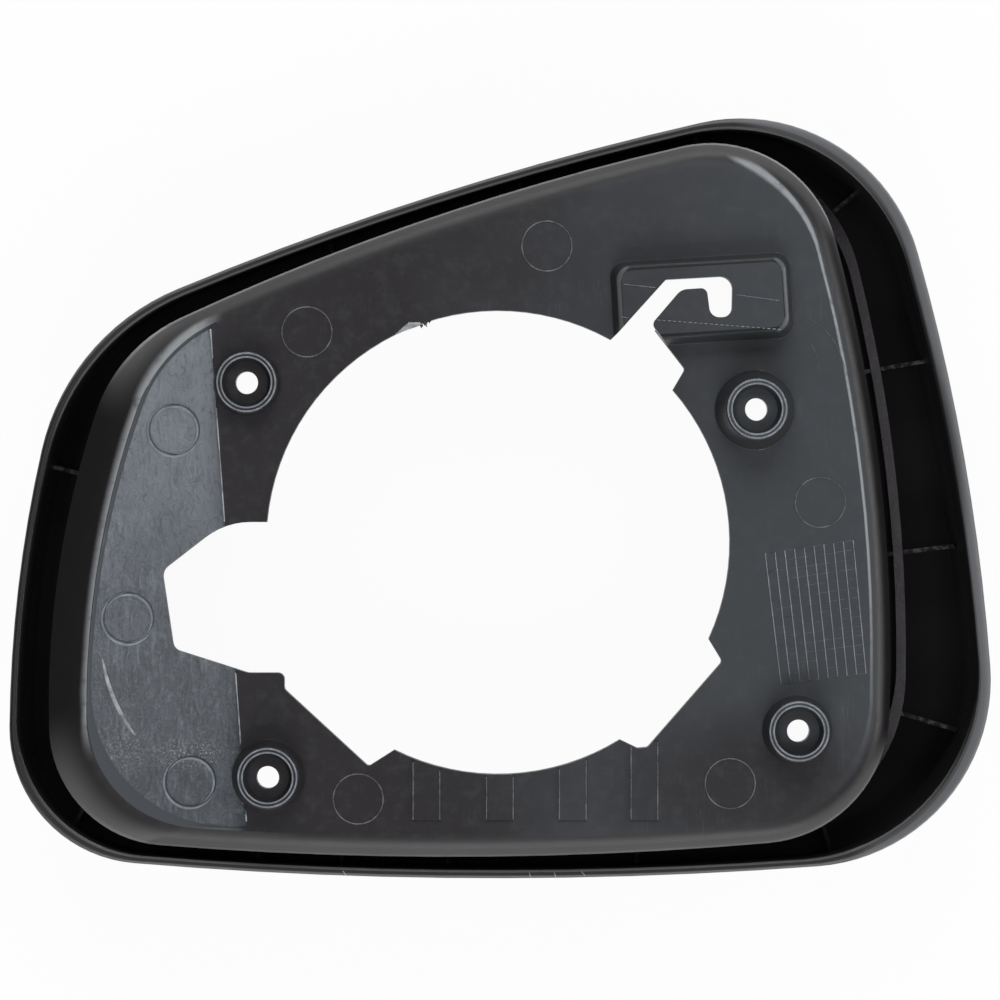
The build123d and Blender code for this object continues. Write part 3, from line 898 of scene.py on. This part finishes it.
class MIRRORFRAME_OT_finish_moulding(bpy.types.Operator):
    """Shade the moulding smooth and make its plastic finishes"""

    bl_idname = "mirrorframe.finish_moulding"
    bl_label = "Finish Moulding"

    def execute(self, context):
        finish = settings("mirror_finish")
        grain = grain_group()
        rounding = MOULDING.modifiers.new("close_and_smooth", "NODES")
        rounding.node_group = smooth_by_angle(finish.smooth_angle)
        flats = MOULDING.modifiers.new("flat_faces_first", "WEIGHTED_NORMAL")
        flats.weight = 100
        flats.keep_sharp = True
        MOULDING.data.materials.clear()
        MOULDING.data.materials.append(moulded_plastic(finish, grain))
        pale_plastic("rubbed_plastic", finish.rubbed_and_highlight_colour, grain, RUBBED_DARKEST)
        pale_plastic("etched_and_highlight_plastic", shade(finish.field_colour, ETCHED_SHARE), grain, ETCHED_DARKEST)
        pale_plastic("whitened_and_highlight_plastic", finish.white_and_highlight_colour, grain, RUBBED_DARKEST)
        return {"FINISHED"}


class MIRRORFRAME_OT_add_pin_marks(bpy.types.Operator):
    """Add the raised rings that the ejector pins leave, with a painted shade and highlight on the field's,
    and the painted highlight rings on the bosses
    """

    bl_idname = "mirrorframe.add_pin_marks"
    bl_label = "Add Pin Marks"

    def execute(self, context):
        marks = settings("mirror_marks")
        etched = bpy.data.materials["etched_and_highlight_plastic"]
        places = at_level(PLATE_PINS, PLATE_HEIGHT)
        points, faces = rings(places, marks.pin_radius, marks.ring_width, marks.ring_height)
        add_piece("plate_pin_marks", points, faces, bpy.data.materials["rubbed_plastic"])
        # On the field each pin mark is a ring that the moulded plastic paints dark as shade, with a pale
        # ring moved off it as its painted highlight.
        places = at_level(FIELD_PINS, FIELD_HEIGHT)
        size = sized(marks.field_ring_width, marks.ring_height, FIELD_SHADE_RING_SHARES)
        points, faces = rings(places, marks.pin_radius, *size)
        add_piece("field_pin_shade_rings", points, faces, bpy.data.materials["moulded_black_plastic"])
        places = places + marks.field_ring_width * np.array(FIELD_HIGHLIGHT_SHIFT)
        size = sized(marks.field_ring_width, marks.ring_height, FIELD_HIGHLIGHT_SHARES)
        points, faces = rings(places, marks.pin_radius, *size)
        add_piece("field_pin_highlight_rings", points, faces, etched)
        # Pale rings on the bosses' upper edges: painted highlights.
        places = np.array(BOSS_TOPS) * MM
        size = sized(marks.ring_width, marks.ring_height, BOSS_HIGHLIGHT_SHARES)
        for name, radius in zip(("boss_outer_highlights", "boss_inner_highlights"), BOSS_HIGHLIGHT_RADII):
            points, faces = rings(places, radius * MM, *size)
            add_piece(name, points, faces, etched)
        return {"FINISHED"}


class MIRRORFRAME_OT_add_table(bpy.types.Operator):
    """Add the bare table of raised lines at the wide end"""

    bl_idname = "mirrorframe.add_table"
    bl_label = "Add Bare Table"

    def execute(self, context):
        marks = settings("mirror_marks")
        low_left, low_right, high_right, high_left = at_level(TABLE_CORNERS, PLATE_HEIGHT)
        share = np.linspace(0, 1, marks.table_columns + 1)[:, None]
        low = low_left + (low_right - low_left) * share
        high = high_left + (high_right - high_left) * share
        points, faces = ridges(low, high, *sized(marks.line_width, marks.line_height, COLUMN_SHARES))
        add_piece("table_columns", points, faces, bpy.data.materials["etched_and_highlight_plastic"])
        share = np.linspace(0, 1, marks.table_rows + 1)[:, None]
        left = low_left + (high_left - low_left) * share
        right = low_right + (high_right - low_right) * share
        points, faces = ridges(left, right, *sized(marks.line_width, marks.line_height, ROW_SHARES))
        add_piece("table_rows", points, faces, bpy.data.materials["rubbed_plastic"])
        return {"FINISHED"}


class MIRRORFRAME_OT_add_edge_lines(bpy.types.Operator):
    """Add the pale lines on the lands, the pad and the rim, and the painted highlight along the step"""

    bl_idname = "mirrorframe.add_edge_lines"
    bl_label = "Add Edge Lines"

    def execute(self, context):
        marks = settings("mirror_marks")
        whitened = bpy.data.materials["whitened_and_highlight_plastic"]
        lands = np.array(LAND_LINES)
        starts = at_level(lands[:, (0, 1)], LAND_HEIGHT)
        ends = at_level(lands[:, (0, 2)], LAND_HEIGHT)
        points, faces = ridges(starts, ends, *sized(marks.line_width, marks.line_height, LAND_LINE_SHARES))
        add_piece("land_lines", points, faces, bpy.data.materials["rubbed_plastic"])

        # Pale line along the step: a painted highlight of the step's lit wall.
        heights = np.array(STEP_HIGHLIGHT_RUNS)
        slope = (STEP_BOTTOM[0] - STEP_TOP[0]) / (STEP_BOTTOM[1] - STEP_TOP[1])
        across = STEP_TOP[0] + (heights - STEP_TOP[1]) * slope
        runs = at_level(np.stack((across, heights), -1), PLATE_HEIGHT)
        size = sized(marks.line_width, marks.line_height, STEP_HIGHLIGHT_SHARES)
        points, faces = ridges(runs[:, 0], runs[:, 1], *size)
        add_piece("step_highlight_lines", points, faces, whitened)

        pad = at_level(PAD_LINES, PAD_HEIGHT)
        run = pad[:, None, 1] - pad[:, None, 0]
        share = np.linspace(0, 1, PAD_DASHES, endpoint=False)[None, :, None]
        starts = (pad[:, None, 0] + run * share).reshape(-1, 3)
        ends = starts + np.repeat(run[:, 0] * DASH_SHARE, PAD_DASHES, axis=0)
        points, faces = ridges(starts, ends, marks.line_width, marks.line_height)
        add_piece("pad_lines", points, faces, bpy.data.materials["etched_and_highlight_plastic"])

        nicks = at_level(NICKS, NICK_HEIGHT)
        points, faces = ridges(nicks[:, 0], nicks[:, 1], marks.line_width, marks.line_height)
        add_piece("rim_nicks", points, faces, whitened)
        return {"FINISHED"}


class MIRRORFRAME_OT_add_wear(bpy.types.Operator):
    """Add the crease, whitened as a painted highlight, the flow lines and the flash at the opening"""

    bl_idname = "mirrorframe.add_wear"
    bl_label = "Add Wear"

    def execute(self, context):
        marks = settings("mirror_marks")
        whitened = bpy.data.materials["whitened_and_highlight_plastic"]
        # The crease's whitened colour is a painted highlight.
        points, faces = strands(at_level((CREASE,), FIELD_HEIGHT), marks.crease_width, marks.ring_height)
        add_piece("field_crease_with_highlight", points, faces, whitened)
        points, faces = strands(at_level(FLOW_LINES, PLATE_HEIGHT), marks.line_width, marks.line_height)
        add_piece("flow_lines", points, faces, bpy.data.materials["rubbed_plastic"])
        centre = np.array(OPENING_CENTRE) * MM
        thickness = FLASH_SHARE * marks.line_height
        points, faces = ragged_edge(centre, OPENING_RADIUS * MM, FLASH_SPAN, PLATE_HEIGHT * MM,
                                    marks.flash_width, thickness)
        add_piece("opening_flash", points, faces, bpy.data.materials["moulded_black_plastic"])
        points, faces = slab(at_level(CHIP_CORNERS, PLATE_HEIGHT), thickness)
        add_piece("opening_chip", points, faces, whitened)
        return {"FINISHED"}


class MIRRORFRAME_OT_build_stage(bpy.types.Operator):
    """Build the white floor, the lamps and the camera"""

    bl_idname = "mirrorframe.build_stage"
    bl_label = "Build Stage"

    def execute(self, context):
        stage = settings("mirror_stage")
        context.scene.view_settings.view_transform = "Standard"
        add_floor(stage.floor_size, stage.floor_drop)
        for name, place, size, power, share, gleam in SOFTBOXES:
            add_softbox(name, place, size, share * getattr(stage, power), gleam)
        light_room(stage.sky_strength)
        add_camera(stage.camera_height, stage.camera_lens)
        return {"FINISHED"}


class MIRRORFRAME_PT_panel(bpy.types.Panel):
    """Steps and sizes of the mirror frame's looks"""

    bl_idname = "MIRRORFRAME_PT_panel"
    bl_label = "Mirror Frame"
    bl_space_type = "VIEW_3D"
    bl_region_type = "UI"
    bl_category = "Mirror Frame"

    def draw(self, context):
        for step in STEPS:
            self.layout.operator(step.bl_idname)
        for name, kind in GROUPS:
            group = getattr(context.scene, name)
            for value in kind.__annotations__:
                self.layout.prop(group, value)


GROUPS = (
    ("mirror_finish", FinishSettings),
    ("mirror_marks", MarkSettings),
    ("mirror_stage", StageSettings),
)
STEPS = (
    MIRRORFRAME_OT_finish_moulding,
    MIRRORFRAME_OT_add_pin_marks,
    MIRRORFRAME_OT_add_table,
    MIRRORFRAME_OT_add_edge_lines,
    MIRRORFRAME_OT_add_wear,
    MIRRORFRAME_OT_build_stage,
)


def register():
    for name, kind in GROUPS:
        bpy.utils.register_class(kind)
        setattr(bpy.types.Scene, name, PointerProperty(type=kind))
    for kind in (*STEPS, MIRRORFRAME_PT_panel):
        bpy.utils.register_class(kind)


def unregister():
    for kind in (MIRRORFRAME_PT_panel, *reversed(STEPS)):
        bpy.utils.unregister_class(kind)
    for name, kind in reversed(GROUPS):
        delattr(bpy.types.Scene, name)
        bpy.utils.unregister_class(kind)


def main():
    """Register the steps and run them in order."""
    register()
    bpy.ops.mirrorframe.finish_moulding()
    bpy.ops.mirrorframe.add_pin_marks()
    bpy.ops.mirrorframe.add_table()
    bpy.ops.mirrorframe.add_edge_lines()
    bpy.ops.mirrorframe.add_wear()
    bpy.ops.mirrorframe.build_stage()


if __name__ == "__main__":
    main()
